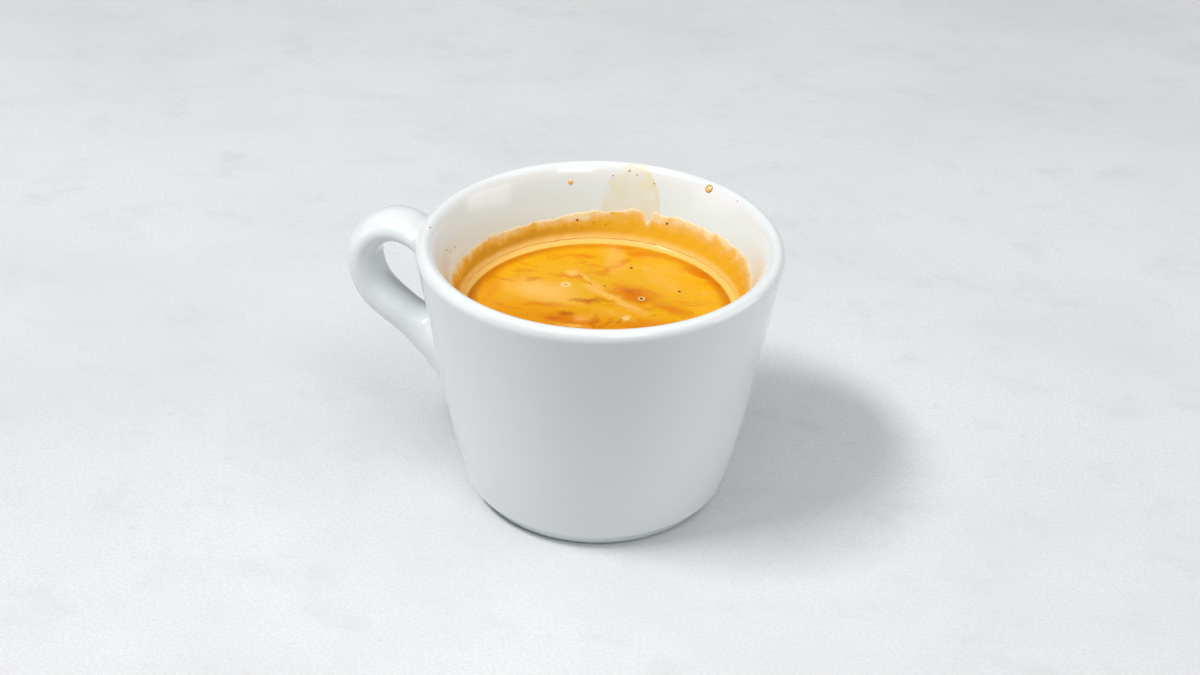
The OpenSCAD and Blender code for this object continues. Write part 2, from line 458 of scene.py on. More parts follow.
class HandlePath:
    """The handle's centreline in its upright plane, and its oval section along it."""

    def __init__(self, cup, handle):
        top, peak = cup.height - handle.drop, cup.height - handle.peak_drop
        tall = top - handle.low
        upper_root = np.array((side_radius(top, cup) - ROOT_DEPTH, top))
        lower_root = np.array((side_radius(handle.low, cup) - ROOT_DEPTH, handle.low))
        outer = np.array((side_radius(peak, cup) + handle.stand, peak))
        up = np.array((math.cos(handle.top_angle), math.sin(handle.top_angle)))
        down = np.array((math.cos(handle.low_angle), math.sin(handle.low_angle)))
        upright = np.array((0, 1))
        upper = [upper_root, upper_root + handle.stand * up,
                 outer + PULL_PEAK_UP * handle.stand * upright, outer]
        lower = [outer, outer - PULL_PEAK_DOWN * tall * upright,
                 lower_root + PULL_LOW * tall * down, lower_root]
        t = np.linspace(0, 1, ARM_SAMPLES + 1)
        tail = np.linspace(0, 1, TAIL_SAMPLES + 1)[1:, None]
        self.peak = ARM_SAMPLES
        self.centre = np.concatenate([cubic(upper, t), cubic(lower, t)[1:],
                                      lower_root - handle.tail * down * tail])
        self.way = np.concatenate([cubic_direction(upper, t), cubic_direction(lower, t)[1:],
                                   -down + 0 * tail])
        run = np.linspace(-1, 1, 2 * ARM_SAMPLES + 1)
        near_root = np.where(run < 0, np.abs(run) ** 3, np.abs(run) ** 1.5)
        wider = np.where(run < 0, handle.top_width, handle.root_width)
        thicker = np.where(run < 0, handle.top_thickness, handle.root_thickness)
        end_width = (1 + handle.root_width) * (1 - TAIL_NARROWS * tail)
        end_thickness = (1 + handle.root_thickness) * (1 - TAIL_THINS * tail)
        self.half_width = handle.width / 2 * np.append(1 + wider * near_root, end_width)
        self.half_thickness = handle.thickness / 2 * np.append(1 + thicker * near_root, end_thickness)
        self.steps = np.linalg.norm(np.diff(self.centre, axis=0), axis=1)
        self.along = np.concatenate([[0], np.cumsum(self.steps)])

    def at(self, index):
        """Centre, direction and half sizes at fractional sample numbers."""
        numbers = np.arange(len(self.centre))
        pick = [np.interp(index, numbers, c) for c in (*self.centre.T, *self.way.T,
                                                       self.half_width, self.half_thickness)]
        return np.stack(pick[:2], -1), np.stack(pick[2:4], -1), pick[4], pick[5]

    def ring(self, index, count):
        """Points round the section, from its outer side towards +Y."""
        centre, way, half_width, half_thickness = (v[0] for v in self.at(np.array([index])))
        turn = 2 * math.pi * np.arange(count) / count
        out = half_thickness * np.cos(turn)
        return np.c_[-(centre[0] - way[1] * out), half_width * np.sin(turn), centre[1] + way[0] * out]

    def distances(self, points):
        """Distances from the skins of the upper and lower arms, less than 0 inside them."""
        flat = np.c_[-points[:, 0], points[:, 2]]
        apart = ((flat[:, None] - self.centre[None]) ** 2).sum(2)
        skins = []
        for first, last in ((0, self.peak), (self.peak, len(self.centre) - 1)):
            near = first + apart[:, first:last + 1].argmin(1)
            forward = ((flat - self.centre[near]) * self.way[near]).sum(1)
            past = np.where(near == first, -forward, np.where(near == last, forward, 0))
            step = self.steps[np.minimum(near, len(self.steps) - 1)]
            place = near + np.where(past > 0, 0, forward / step)
            centre, way, half_width, half_thickness = self.at(place)
            gap = flat - centre
            out = -gap[:, 0] * way[:, 1] + gap[:, 1] * way[:, 0]
            a = np.hypot(out / half_thickness, points[:, 1] / half_width)
            b = np.hypot(out / half_thickness ** 2, points[:, 1] / half_width ** 2)
            skin = a * (a - 1) / np.maximum(b, 1e-9)
            skins.append(np.where(past > 0, np.hypot(np.maximum(skin, 0), past), skin))
        return skins


def blended_distance(points, cup, handle, path):
    """Distance from the skin of the side and the handle, joined by soft fillets."""
    side = (np.hypot(points[:, 0], points[:, 1]) - side_radius(points[:, 2], cup))
    side *= math.cos(math.atan(cup.lean))
    upper, lower = path.distances(points)
    under_rim = (cup.height - cup.lip_height - points[:, 2]) / FADE
    faded = handle.fillet * np.clip(under_rim, 0.1, 1)
    web = handle.web * np.exp(-((points[:, 2] - handle.web_height) / WEB_REACH) ** 2)
    blended = []
    for arm, reach in ((upper, faded), (lower, handle.fillet + web)):
        share = np.clip(1 - np.abs(side - arm) / reach, 0, None)
        blended.append(np.minimum(side, arm) - share ** 2 * reach / 4)
    return np.minimum(*blended)


def onto_skin(points, distance, rounds=4):
    """Moves points straight to where distance is 0."""
    tiny = 0.01 * MM
    for _ in range(rounds):
        here = distance(points)
        slope = np.stack([(distance(points + tiny * axis) - here) / tiny for axis in np.eye(3)], 1)
        steepness = np.maximum((slope ** 2).sum(1), 0.25)
        points = points - slope * (here / steepness)[:, None]
    return points


def evened(points, edges, free, distance, rounds=24):
    """Spreads the free points evenly over the skin."""
    a, b = edges.T
    count = np.bincount(edges.ravel(), minlength=len(points))[:, None]
    for _ in range(rounds):
        total = np.zeros_like(points)
        np.add.at(total, a, points[b])
        np.add.at(total, b, points[a])
        middle = total / np.maximum(count, 1)
        points[free] = 0.5 * (points[free] + middle[free])
        points[free] = onto_skin(points[free], distance, 1)
    points[free] = onto_skin(points[free], distance)
    return points


def build_cup(cup, handle):
    """Points and faces of the cup, with the handle grown out of its side."""
    outline, first = cup_outline(cup)
    rows = len(outline)
    turns = math.pi - 2 * math.pi * np.arange(COLUMNS) / COLUMNS
    grid = np.stack([outline[:, :1] * np.cos(turns), outline[:, :1] * np.sin(turns),
                     np.repeat(outline[:, 1:], COLUMNS, 1)], -1)
    points = [grid.reshape(-1, 3), [(0, 0, outline[0, 1]), (0, 0, outline[-1, 1])]]
    inner_pole, under_pole = rows * COLUMNS, rows * COLUMNS + 1

    def at(row, column):
        return row * COLUMNS + column % COLUMNS

    high = (first, first + HIGH_ROWS, HIGH_HALF)
    low_start = first + HIGH_ROWS + MIDDLE_ROWS
    low = (low_start, low_start + LOW_ROWS, LOW_HALF)

    def opened(row, column):
        column = (column + COLUMNS // 2) % COLUMNS - COLUMNS // 2
        return any(a <= row < b and -half <= column < half for a, b, half in (high, low))

    faces = [(at(i, j), at(i, j + 1), at(i + 1, j + 1), at(i + 1, j))
             for i in range(rows - 1) for j in range(COLUMNS) if not opened(i, j)]
    for j in range(COLUMNS):
        faces.append((inner_pole, at(0, j + 1), at(0, j)))
        faces.append((under_pole, at(rows - 1, j), at(rows - 1, j + 1)))

    def opening(near, far, half):
        """Ids round an opening, from the middle of its near edge towards +Y."""
        step = 1 if far > near else -1
        ids = [at(near, j) for j in range(half)]
        ids += [at(i, half) for i in range(near, far, step)]
        ids += [at(far, j) for j in range(half, -half, -1)]
        ids += [at(i, -half) for i in range(far, near, -step)]
        return ids + [at(near, j) for j in range(-half, 0)]

    upper = opening(high[0], high[1], high[2])
    lower = opening(low[1], low[0], low[2])
    path = HandlePath(cup, handle)

    def clear_of_side(index):
        ring = path.ring(index, RING_POINTS)
        return (np.hypot(ring[:, 0], ring[:, 1]) - side_radius(ring[:, 2], cup)).min() > 0.6 * MM

    free_rings = [i for i in range(len(path.centre)) if clear_of_side(i)]
    start, end = free_rings[0], free_rings[-1]
    spans = np.arange(path.along[start], path.along[end], RING_STEP)
    numbers = np.interp(spans, path.along, np.arange(len(path.along)))
    rings = [path.ring(i, RING_POINTS) for i in numbers]
    skin = grid.reshape(-1, 3)
    bridges = [(skin[upper], rings[0], HIGH_LOOPS), (rings[-1], skin[lower], LOW_LOOPS)]
    fans = [[a + (b - a) * k / (n + 1) for k in range(1, n + 1)] for a, b, n in bridges]
    loops = fans[0] + rings + fans[1]
    base = under_pole + 1
    ids = [upper]
    for k in range(len(loops)):
        ids.append([base + k * RING_POINTS + i for i in range(RING_POINTS)])
    ids.append(lower)
    points = np.concatenate([*points, *loops])
    for one, two in zip(ids, ids[1:]):
        for i in range(RING_POINTS):
            k = (i + 1) % RING_POINTS
            faces.append((one[i], one[k], two[k], two[i]))

    pairs = {tuple(sorted((face[i], face[i - 1]))) for face in faces for i in range(len(face))}
    edges = np.array(sorted(pairs))

    def distance(places):
        return blended_distance(places, cup, handle, path)

    free = np.zeros(len(points), bool)
    side_ids = np.arange(first * COLUMNS, (low[1] + 3) * COLUMNS)
    close = np.min(path.distances(points[side_ids]), 0) < handle.fillet + handle.web
    free[side_ids[close]] = True
    loop_ids = np.array(ids[1:-1])
    free[loop_ids[:HIGH_LOOPS + HIGH_SOFT].ravel()] = True
    free[loop_ids[-LOW_LOOPS - LOW_SOFT:].ravel()] = True
    used = np.zeros(len(points), bool)
    used[edges.ravel()] = True
    points = evened(points, edges, free & used, distance)
    return points, faces


# The dried tongue on the back wall: its middle and half width in degrees, its foot and height in mm
STAIN_TURN, STAIN_HALF = 91.8, 12.5
STAIN_FOOT, STAIN_HEIGHT = 41.0, 9.3


def glaze_finish(cup):
    """White glaze with dried coffee marks inside the rim and a bare foot ring."""
    paint = Paint("white_glaze")
    x, y, z = paint.parts(paint.place)
    turn = paint.math("DEGREES", paint.math("ARCTAN2", y, x))
    shoulder = (cup.height - cup.lip_height) / MM
    middle = cup.rim_radius / MM - 1.6
    outer = paint.line(z, 0, shoulder, middle - cup.lean * shoulder, middle)
    inside = paint.math("LESS_THAN", paint.across(x, y), outer)
    ragged = paint.noise(paint.place, 0.7, 4.0)[0]
    wobble = paint.minus(ragged, 0.5)
    # A round-topped tongue where the crema ran up the back of the wall
    sideways = paint.math("DIVIDE", paint.minus(turn, STAIN_TURN), STAIN_HALF)
    upward = paint.math("DIVIDE", paint.minus(z, STAIN_FOOT), STAIN_HEIGHT)
    reach = paint.vector("LENGTH", paint.joined(paint.plus(sideways, paint.times(wobble, 0.35)),
                                                paint.plus(upward, paint.times(wobble, 0.25)), 0.0))
    clouds = paint.line(paint.noise(paint.place, 0.25, 3.0)[0], 0.3, 0.7, 0.25, 0.75)
    hem = paint.times(paint.ease(reach, 0.84, 0.95), paint.ease(turn, 97.0, 84.0))
    tongue = paint.times(paint.ease(reach, 1.02, 0.9), paint.plus(clouds, paint.times(hem, 0.5)))
    # Fine flecks over the film, most of them near the handle, and a faint run opposite it
    flecks = paint.ease(paint.noise(paint.place, 1.9, 2.0)[0], 0.66, 0.74)
    flecks = paint.times(flecks, paint.ease(z, 47.5, 42.5))
    flecks = paint.times(flecks, paint.ease(x, -16.0, -27.0))
    smear = paint.times(paint.ease(paint.math("ABSOLUTE", turn), 16.0, 6.0), paint.ease(z, 48.5, 43.0))
    smear = paint.times(smear, paint.ease(ragged, 0.45, 0.65, 0.0, 0.6))
    marks = paint.times(paint.larger(tongue, paint.larger(flecks, smear)), inside)
    # Painted light: below the lip the inside takes a lighter, cooler copy of the glaze
    lit_inside_mask = paint.times(inside, paint.ease(z, 48.6, 45.5))
    glaze = paint.mix(lit_inside_mask, tuple(cup.glaze), tuple(cup.lit_inner_glaze))
    tint = paint.mix(marks, glaze, tuple(cup.stain))
    bare = paint.ease(z, 0.3, 0.12)
    paint.set(base_color=paint.mix(bare, tint, tuple(cup.biscuit)),
              roughness=paint.line(bare, 0, 1, 0.13, 0.75))
    ripple = paint.times(paint.noise(paint.place, 0.12, 2.0)[0], 0.6)
    grain = paint.times(paint.noise(paint.place, 6.0, 4.0)[0], bare)
    paint.bump(paint.plus(ripple, grain), 0.05 * MM, 0.5)
    return paint.material


# ---------------------------------------------------------------- drink

# Open pits and pale rings on the drink: x, y, radius. The pale rings are partly pale foam and partly
# painted highlight.
PITS = (
    (2, 16, 0.3), (12.5, 10, 0.3), (6.5, 5.5, 0.35), (-1, 8, 0.2), (-4, 8.5, 0.15), (-3.5, 8, 0.15),
    (0.5, 9.5, 0.1), (1.5, 10.5, 0.1), (-8, 6.5, 0.1),
)
RINGS = ((-8, 6.5, 0.75), (6.5, 5.5, 0.5), (5.5, -2, 0.5))
# Pits, drops and specks on the wall: angle in degrees, height, radius
FILM_PITS = ((114, 40, 0.25), (107, 39.5, 0.15), (102, 39, 0.2), (76, 41, 0.25), (39, 40.5, 0.15),
             (140, 39, 0.15), (59, 40, 0.1))
DROP = (116, 47, 0.5)
BEAD = (62, 49.2, 0.6)
SPECKS = (
    (100, 48, 0.15), (94, 49, 0.2), (91, 48.5, 0.15), (84, 47.5, 0.15), (48, 49.5, 0.15),
    (-172, 49.8, 0.2), (-177, 44, 0.15), (-174, 45, 0.2), (178, 43.5, 0.15), (-171, 43, 0.15),
)
# Swirls on the crema: middle x and y, half length, half width, turn in degrees, strength
PALE_SWIRLS = (
    (-11, 3, 6, 3, -10, 1.0), (-8, 11, 1.2, 1, 0, 1.0), (-5, 10, 2.2, 0.5, -45, 0.9),
    (-3, 7, 1.5, 1.2, 0, 0.8), (0, 5, 4, 0.8, -20, 1.0), (4.5, 2.5, 4, 1, -30, 0.8),
    (-2, 19, 5, 1.7, 110, 0.7), (-8, 6.5, 1, 1, 0, 0.9), (-2, -4.5, 1.5, 1, 0, 0.6),
    (5.5, -2, 1, 0.7, 0, 1.0), (-3, -7.5, 2.2, 0.7, 10, 0.7), (9, 17.5, 4, 1.2, -20, 0.3),
)
WET_SWIRLS = (
    (4.5, 6.5, 4, 2.5, -25, 1.0), (-1, 16, 4, 0.8, 60, 0.9), (2, 21.5, 4, 1.2, 5, 0.7),
    (12.5, 3.5, 4.5, 1.5, -20, 0.8), (-4, -5.5, 7, 2, 0, 1.0), (-7.5, 10, 2.5, 0.8, 5, 0.9),
    (-20.5, 1, 1.5, 6, 10, 0.5), (9, -3.5, 7, 2, 15, 0.8), (-9.5, -1.5, 4.5, 1, 10, 0.8),
)
BROWN_SWIRLS = (
    (-3, 2, 2.5, 0.6, 15, 0.8), (0, 3, 1.8, 0.5, -10, 0.5), (-14, 7, 1.4, 0.6, 25, 0.45),
    (-5.5, -3.5, 1.2, 0.8, 10, 0.8), (0.5, -5, 0.5, 2.2, 10, 0.8), (2.5, -5, 0.4, 1.8, -15, 0.6),
    (-7, -6, 1.4, 0.6, 30, 0.6), (7, 5, 1.4, 1.1, 0, 0.35), (4, 7.5, 1.3, 0.7, -30, 0.4),
    (4.5, -3.5, 0.4, 1.2, -20, 0.5),
)


def crema_finish(drink):
    """Marbled foam: gold, pale and orange swirls with brown streaks, wet on top."""
    paint = Paint("marbled_crema")
    place = paint.place
    slow = paint.noise(place, 0.09, 3.0, 0.55)[1]
    fine = paint.noise(place, 0.42, 4.0, 0.6)[1]
    drift = paint.scaled(paint.vector("SUBTRACT", slow, (0.5, 0.5, 0.5)), 9.0)
    shiver = paint.scaled(paint.vector("SUBTRACT", fine, (0.5, 0.5, 0.5)), 2.0)
    warped = paint.vector("ADD", place, paint.vector("ADD", drift, shiver))
    flow = paint.node("ShaderNodeMapping", {"Vector": warped, "Rotation": (0, 0, math.radians(-20)),
                                            "Scale": (0.45, 1.4, 0.0)}).outputs[0]
    bands = paint.noise(flow, 0.16, 5.0, 0.6)[0]
    streaks = paint.noise(flow, 0.33, 5.0, 0.65)[0]
    gentle = paint.vector("ADD", place, paint.scaled(shiver, 1.6))

    def swirls(spots):
        total = None
        for x, y, long, wide, turn, strength in spots:
            one = paint.times(paint.patch(gentle, x, y, long, wide, turn, 0.8), strength)
            total = one if total is None else paint.larger(total, one)
        return total

    x, y, _ = paint.parts(place)
    radius = paint.across(x, y)
    flat_edge = (drink.edge_radius - drink.collar_width) / MM
    pale = paint.larger(swirls(PALE_SWIRLS), paint.ease(bands, 0.54, 0.70, 0, 0.5))
    # More orange towards the front, partly the foam's own colour and partly painted shade; it is added
    # to the wet mask
    front_tint_and_shade = paint.ease(y, 3.0, -8.0, 0, 0.6)
    wet = paint.larger(swirls(WET_SWIRLS), paint.ease(bands, 0.48, 0.34, 0, 0.8))
    wet = paint.larger(wet, front_tint_and_shade)
    brown = paint.times(swirls(BROWN_SWIRLS), paint.ease(streaks, 0.34, 0.56, 0.35, 0.95))
    brown = paint.larger(brown, paint.ease(streaks, 0.60, 0.76, 0, 0.4))
    # Painted shade: a darker band along the foot of the collar, stronger towards the front
    hollow = paint.times(paint.ease(radius, flat_edge - 2.4, flat_edge - 0.3),
                         paint.ease(radius, flat_edge + 0.35, flat_edge))
    hollow = paint.times(hollow, paint.ease(y, 26.0, 14.0, 0.3, 0.75))
    collar = paint.ease(radius, flat_edge, flat_edge + 0.5)
    tint = paint.mix(wet, tuple(drink.gold), tuple(drink.orange))
    tint = paint.mix(pale, tint, tuple(drink.pale))
    tint = paint.mix(brown, tint, tuple(drink.brown))
    tint = paint.mix(hollow, tint, tone("B86204"))
    # The collar is paler: partly the foam's own colour, partly painted light where it faces up
    tint = paint.mix(paint.times(collar, 0.9), tint, tone("F5C66C"))
    foam = paint.noise(place, 2.6, 4.0, 0.7)[0]
    tint = paint.mix(paint.ease(foam, 0.52, 0.75, 0, 0.3), tint, tuple(drink.orange))
    paint.set(base_color=tint, roughness=0.45, specular_ior_level=0.1,
              coat_weight=0.16, coat_roughness=paint.line(collar, 0, 1, 0.03, 0.14))
    paint.bump(foam, 0.02 * MM, 0.5)
    return paint.material


def film_finish():
    """The thin film on the wall: pale at its ragged edge, golden below."""
    paint = Paint("crema_film")
    depth = paint.node("ShaderNodeAttribute", attribute_name="depth").outputs["Fac"]
    place = paint.place
    x, _, z = paint.parts(place)
    cloud = paint.noise(place, 0.35, 4.0, 0.6)[0]
    deep = paint.plus(depth, paint.line(cloud, 0.3, 0.7, -0.2, 0.2))
    tint = paint.mix(paint.ease(deep, 0.0, 0.28), tone("F0DCAE"), tone("EBBB62"))
    tint = paint.mix(paint.ease(deep, 0.15, 0.55), tint, tone("EEB826"))
    # Painted shade: the deeper film is darker on the left side
    left = paint.ease(x, 2.0, -20.0, 0.15, 1.0)
    left_shade = paint.times(paint.ease(deep, 0.25, 0.6), left)
    tint = paint.mix(paint.times(left_shade, 0.7), tint, tone("CA8E24"))
    # Paler at the foot, like the collar: partly the film's own colour, partly painted light
    low = (CREMA_HIGH.z + 0.3 * MM) / MM
    tint = paint.mix(paint.ease(z, low + 0.5, low - 0.5), tint, tone("F2C264"))
    specks = paint.noise(place, 2.2, 2.0, 0.4)[0]
    tint = paint.mix(paint.ease(specks, 0.68, 0.76, 0, 0.5), tint, tone("A86A1C"))
    foam = paint.noise(place, 2.5, 4.0, 0.65)[0]
    paint.set(base_color=tint, roughness=0.35, specular_ior_level=0.35)
    paint.bump(foam, 0.03 * MM, 0.6)
    return paint.material


def plain_finish(name, code, rough, **more):
    """A wet dark or clear-looking finish with a faint cloudiness."""
    paint = Paint(name)
    cloud = paint.noise(paint.place, 0.8, 3.0)[0]
    base = tone(code)
    tint = paint.mix(cloud, tuple(c * 0.8 for c in base), tuple(min(1, c * 1.2) for c in base))
    paint.set(base_color=tint, roughness=rough, **more)
    return paint.material


def tree_with_inputs(name, inputs):
    """A geometry tree with named inputs and one geometry output."""
    tree = bpy.data.node_groups.new(name, "GeometryNodeTree")
    kinds = {float: "NodeSocketFloat", int: "NodeSocketInt", tuple: "NodeSocketVector"}
    tree.interface.new_socket("Geometry", in_out="INPUT", socket_type="NodeSocketGeometry")
    for key, value in inputs.items():
        socket = tree.interface.new_socket(key, in_out="INPUT", socket_type=kinds[type(value)])
        socket.default_value = value
    tree.interface.new_socket("Geometry", in_out="OUTPUT", socket_type="NodeSocketGeometry")
    wires = Wires(tree)
    given = wires.node("NodeGroupInput").outputs
    return wires, given


def grown(name, wires, geometry, material, inputs, source=None):
    """Runs a geometry tree on an object and returns its result as a plain mesh object."""
    real = wires.node("GeometryNodeRealizeInstances", {0: geometry}).outputs[0]
    painted = wires.node("GeometryNodeSetMaterial", {0: real})
    painted.inputs["Material"].default_value = material
    wires.node("NodeGroupOutput", {0: painted.outputs[0]})
    holder = bpy.data.objects.new(name + "_source", source or bpy.data.meshes.new(name + "_source"))
    bpy.context.scene.collection.objects.link(holder)
    growing = holder.modifiers.new("grow", "NODES")
    growing.node_group = wires.tree
    sockets = {s.name: s.identifier for s in wires.tree.interface.items_tree if s.in_out == "INPUT"}
    for key, value in inputs.items():
        growing[sockets[key]] = value
    bpy.context.view_layer.update()
    ready = holder.evaluated_get(bpy.context.evaluated_depsgraph_get())
    mesh = bpy.data.meshes.new_from_object(ready)
    bpy.data.objects.remove(holder)
    mesh.polygons.foreach_set("use_smooth", [True] * len(mesh.polygons))
    made = bpy.data.objects.new(name, mesh)
    bpy.context.scene.collection.objects.link(made)
    return made


def build_crema(drink, cup, material):
    """The crema as a turned layer: its top, its hollow collar, its side and its underside."""
    top = CREMA_HIGH.z
    inputs = {
        "Level": drink.level,
        "Collar top": top,
        "Edge radius": float(wall_radius(top, cup)) + drink.into_wall,
        "Foot radius": float(wall_radius(drink.bottom, cup)) + drink.into_wall,
        "Foot level": drink.bottom,
        "Collar width": drink.collar_width + drink.into_wall,
        "Collar bend": drink.collar_bend,
        "Relief": drink.relief,
        "Rings": 150,
        "Spokes": 257,
    }
    wires, given = tree_with_inputs("turned_crema", inputs)
    sheet = wires.node("GeometryNodeMeshGrid", {"Size X": 1.0, "Size Y": 1.0,
                                                "Vertices X": given["Rings"],
                                                "Vertices Y": given["Spokes"]}).outputs[0]
    spot = wires.parts(wires.node("GeometryNodeInputPosition").outputs[0])
    run = wires.plus(spot[0], 0.5)
    turn = wires.times(wires.plus(spot[1], 0.5), 2 * math.pi)
    over = wires.line(run, 0.0, 0.84)
    down = wires.line(run, 0.84, 0.92)
    back = wires.line(run, 0.92, 1.0)
    narrowing = wires.minus(given["Edge radius"], given["Foot radius"])
    flat_radius = wires.times(over, given["Edge radius"])
    radius = wires.minus(wires.minus(flat_radius, wires.times(down, narrowing)),
                         wires.times(back, given["Foot radius"]))
    flat_edge = wires.minus(given["Edge radius"], given["Collar width"])
    climb = wires.math("POWER", wires.line(flat_radius, flat_edge, given["Edge radius"]),
                       given["Collar bend"])
    rise = wires.times(climb, wires.minus(given["Collar top"], given["Level"]))
    fall = wires.times(down, wires.minus(given["Collar top"], given["Foot level"]))
    x = wires.times(radius, wires.math("COSINE", turn))
    y = wires.times(radius, wires.math("SINE", turn))
    ripple = wires.noise(wires.joined(x, y, 0.0), 90.0, 1.0)[0]
    calm = wires.times(wires.line(over, 0.96, 0.85), wires.line(down, 0.01, 0.0))
    uneven = wires.times(wires.minus(ripple, 0.5), wires.times(given["Relief"], calm))
    height = wires.plus(wires.plus(given["Level"], rise), wires.minus(uneven, fall))
    placed = wires.node("GeometryNodeSetPosition", {0: sheet, "Position": wires.joined(x, y, height)})
    closed = wires.node("GeometryNodeMergeByDistance", {0: placed.outputs[0], "Distance": 0.002 * MM})
    return grown("crema_layer", wires, closed.outputs[0], material, inputs)


def film_edge(turn, drink):
    """Height of the film's ragged upper edge at each angle."""
    base = drink.film + 0.9 * MM * np.cos(turn - math.radians(30))
    base -= 0.5 * MM * np.cos(2 * (turn - math.radians(130)))
    rng = np.random.default_rng(drink.seed)
    for waves, height in ((5, 0.16), (9, 0.12), (17, 0.10), (31, 0.09), (53, 0.07), (97, 0.06)):
        base += height * MM * np.sin(waves * turn + rng.uniform(0, 2 * math.pi))

    def tooth(at, width, height):
        return height * MM * np.exp(-((np.degrees(turn) - at) / width) ** 2)

    return base + tooth(84.6, 1.1, -1.9) + tooth(81.8, 1.2, 0.5) + tooth(90.5, 2.2, 0.6)


def build_film(drink, cup, material):
    """The film from the collar up to its ragged edge, thin as paint at the top."""
    columns, rows = 720, 26
    turn = 2 * math.pi * np.arange(columns) / columns
    edge = film_edge(turn, drink)
    start = CREMA_HIGH.z - 0.6 * MM
    share = np.linspace(0, 1, rows) ** 1.4
    z = start + (edge - start)[None] * share[:, None]
    rng = np.random.default_rng(drink.seed + 1)
    bumps = np.ones_like(z)
    for _ in range(14):
        a, b, c = rng.integers(3, 60), rng.uniform(200, 1800), rng.uniform(0, 6.28)
        bumps += 0.07 * np.sin(a * turn[None] + b * z + c)
    body = (1 - share ** 3)[:, None] * 0.75 + 0.25
    foot = np.exp(-(z - start) / (0.45 * MM))
    thick = drink.film_thickness * body * bumps + drink.film_foot * foot
    thick[-1] = 0.01 * MM
    radius = wall_radius(z, cup)

    def skin(r):
        return np.stack([r * np.cos(turn), r * np.sin(turn), z], -1).reshape(-1, 3)

    points = np.concatenate([skin(radius - thick), skin(radius + 0.12 * MM)])
    back = columns * rows
    faces = []
    for j in range(columns):
        k = (j + 1) % columns
        for i in range(rows - 1):
            low, high = i * columns, (i + 1) * columns
            a, b, c, d = low + j, low + k, high + k, high + j
            faces.append((a, b, c, d))
            faces.append((back + d, back + c, back + b, back + a))
        faces.append((j, back + j, back + k, k))
        top = (rows - 1) * columns
        faces.append((top + k, back + top + k, back + top + j, top + j))
    made = make_mesh("crema_film", points, faces, material)
    depth = made.data.attributes.new("depth", "FLOAT", "POINT")
    depth.data.foreach_set("value", np.tile(np.repeat(1 - share, columns), 2).astype(np.float32))
    return made


def build_bubbles(drink, crema, material):
    """Tiny open bubbles scattered over the crema."""
    inputs = {
        "Per square metre": drink.bubbles * 1e4,
        "Smallest": 0.3 * drink.bubble,
        "Largest": drink.bubble,
        "Seed": drink.seed,
    }
    wires, given = tree_with_inputs("scattered_bubbles", inputs)
    flat = wires.math("GREATER_THAN",
                      wires.parts(wires.node("GeometryNodeInputNormal").outputs[0])[2], 0.9)
    points = wires.node("GeometryNodeDistributePointsOnFaces",
                        {"Mesh": given["Geometry"], "Selection": flat,
                         "Density": given["Per square metre"], "Seed": given["Seed"]})
    dome = wires.node("GeometryNodeMeshIcoSphere", {"Radius": 1.0, "Subdivisions": 2}).outputs[0]
    size = wires.node("FunctionNodeRandomValue", {2: given["Smallest"], 3: given["Largest"],
                                                  "Seed": given["Seed"]}, data_type="FLOAT")
    wide = size.outputs[1]
    scale = wires.joined(wide, wide, wires.times(wide, 0.35))
    placed = wires.node("GeometryNodeInstanceOnPoints",
                        {"Points": points.outputs[0], "Instance": dome, "Scale": scale})
    return grown("crema_bubbles", wires, placed.outputs[0], material, inputs, crema.data)


def place_shapes(name, spots, shape, material):
    """Small domes or rings at chosen spots, each [place, facing, half sizes]."""
    places, facings, sizes = (np.array(part, np.float32) for part in zip(*spots))
    source = bpy.data.meshes.new(name + "_spots")
    source.from_pydata(places.tolist(), [], [])
    for key, values in (("facing", facings), ("size", sizes)):
        kept = source.attributes.new(key, "FLOAT_VECTOR", "POINT")
        kept.data.foreach_set("vector", values.ravel())
    wires, given = tree_with_inputs(name + "_shapes", {"Ring thickness": 0.3})
    if shape == "ring":
        loop = wires.node("GeometryNodeCurvePrimitiveCircle", {"Resolution": 40, "Radius": 1.0})
        wire = wires.node("GeometryNodeCurvePrimitiveCircle", {"Resolution": 10,
                                                               "Radius": given["Ring thickness"]})
        unit = wires.node("GeometryNodeCurveToMesh", {"Curve": loop.outputs[0],
                                                      "Profile Curve": wire.outputs[0]}).outputs[0]
    else:
        unit = wires.node("GeometryNodeMeshIcoSphere", {"Radius": 1.0, "Subdivisions": 4}).outputs[0]
    kept = {key: wires.node("GeometryNodeInputNamedAttribute", {"Name": key},
                            data_type="FLOAT_VECTOR").outputs[0] for key in ("facing", "size")}
    turned = wires.node("FunctionNodeAlignRotationToVector", {"Vector": kept["facing"]}, axis="Z")
    placed = wires.node("GeometryNodeInstanceOnPoints",
                        {"Points": given["Geometry"], "Instance": unit,
                         "Rotation": turned.outputs[0], "Scale": kept["size"]})
    return grown(name, wires, placed.outputs[0], material, {}, source)


def crema_shapes(name, spots, shape, material):
    finish_piece(place_shapes(name, spots, shape, material), "crema")


def on_wall(turn, height, radius, cup, flat=0.45):
    """A spot on the inner wall at an angle in degrees and a height and radius in mm."""
    a, z = math.radians(turn), height * MM
    r = float(wall_radius(z, cup))
    slope = (float(wall_radius(z + 0.1 * MM, cup)) - r) / (0.1 * MM)
    facing = np.array((-math.cos(a), -math.sin(a), slope))
    place = (r * math.cos(a), r * math.sin(a), z)
    return place, facing / np.linalg.norm(facing), np.array((1, 1, flat)) * radius * MM


def on_drink(x, y, radius, drink, flat=0.3):
    """A spot on the drink's surface, in mm."""
    return (x * MM, y * MM, drink.level), (0, 0, 1), np.array((1, 1, flat)) * radius * MM


# ---------------------------------------------------------------- stage

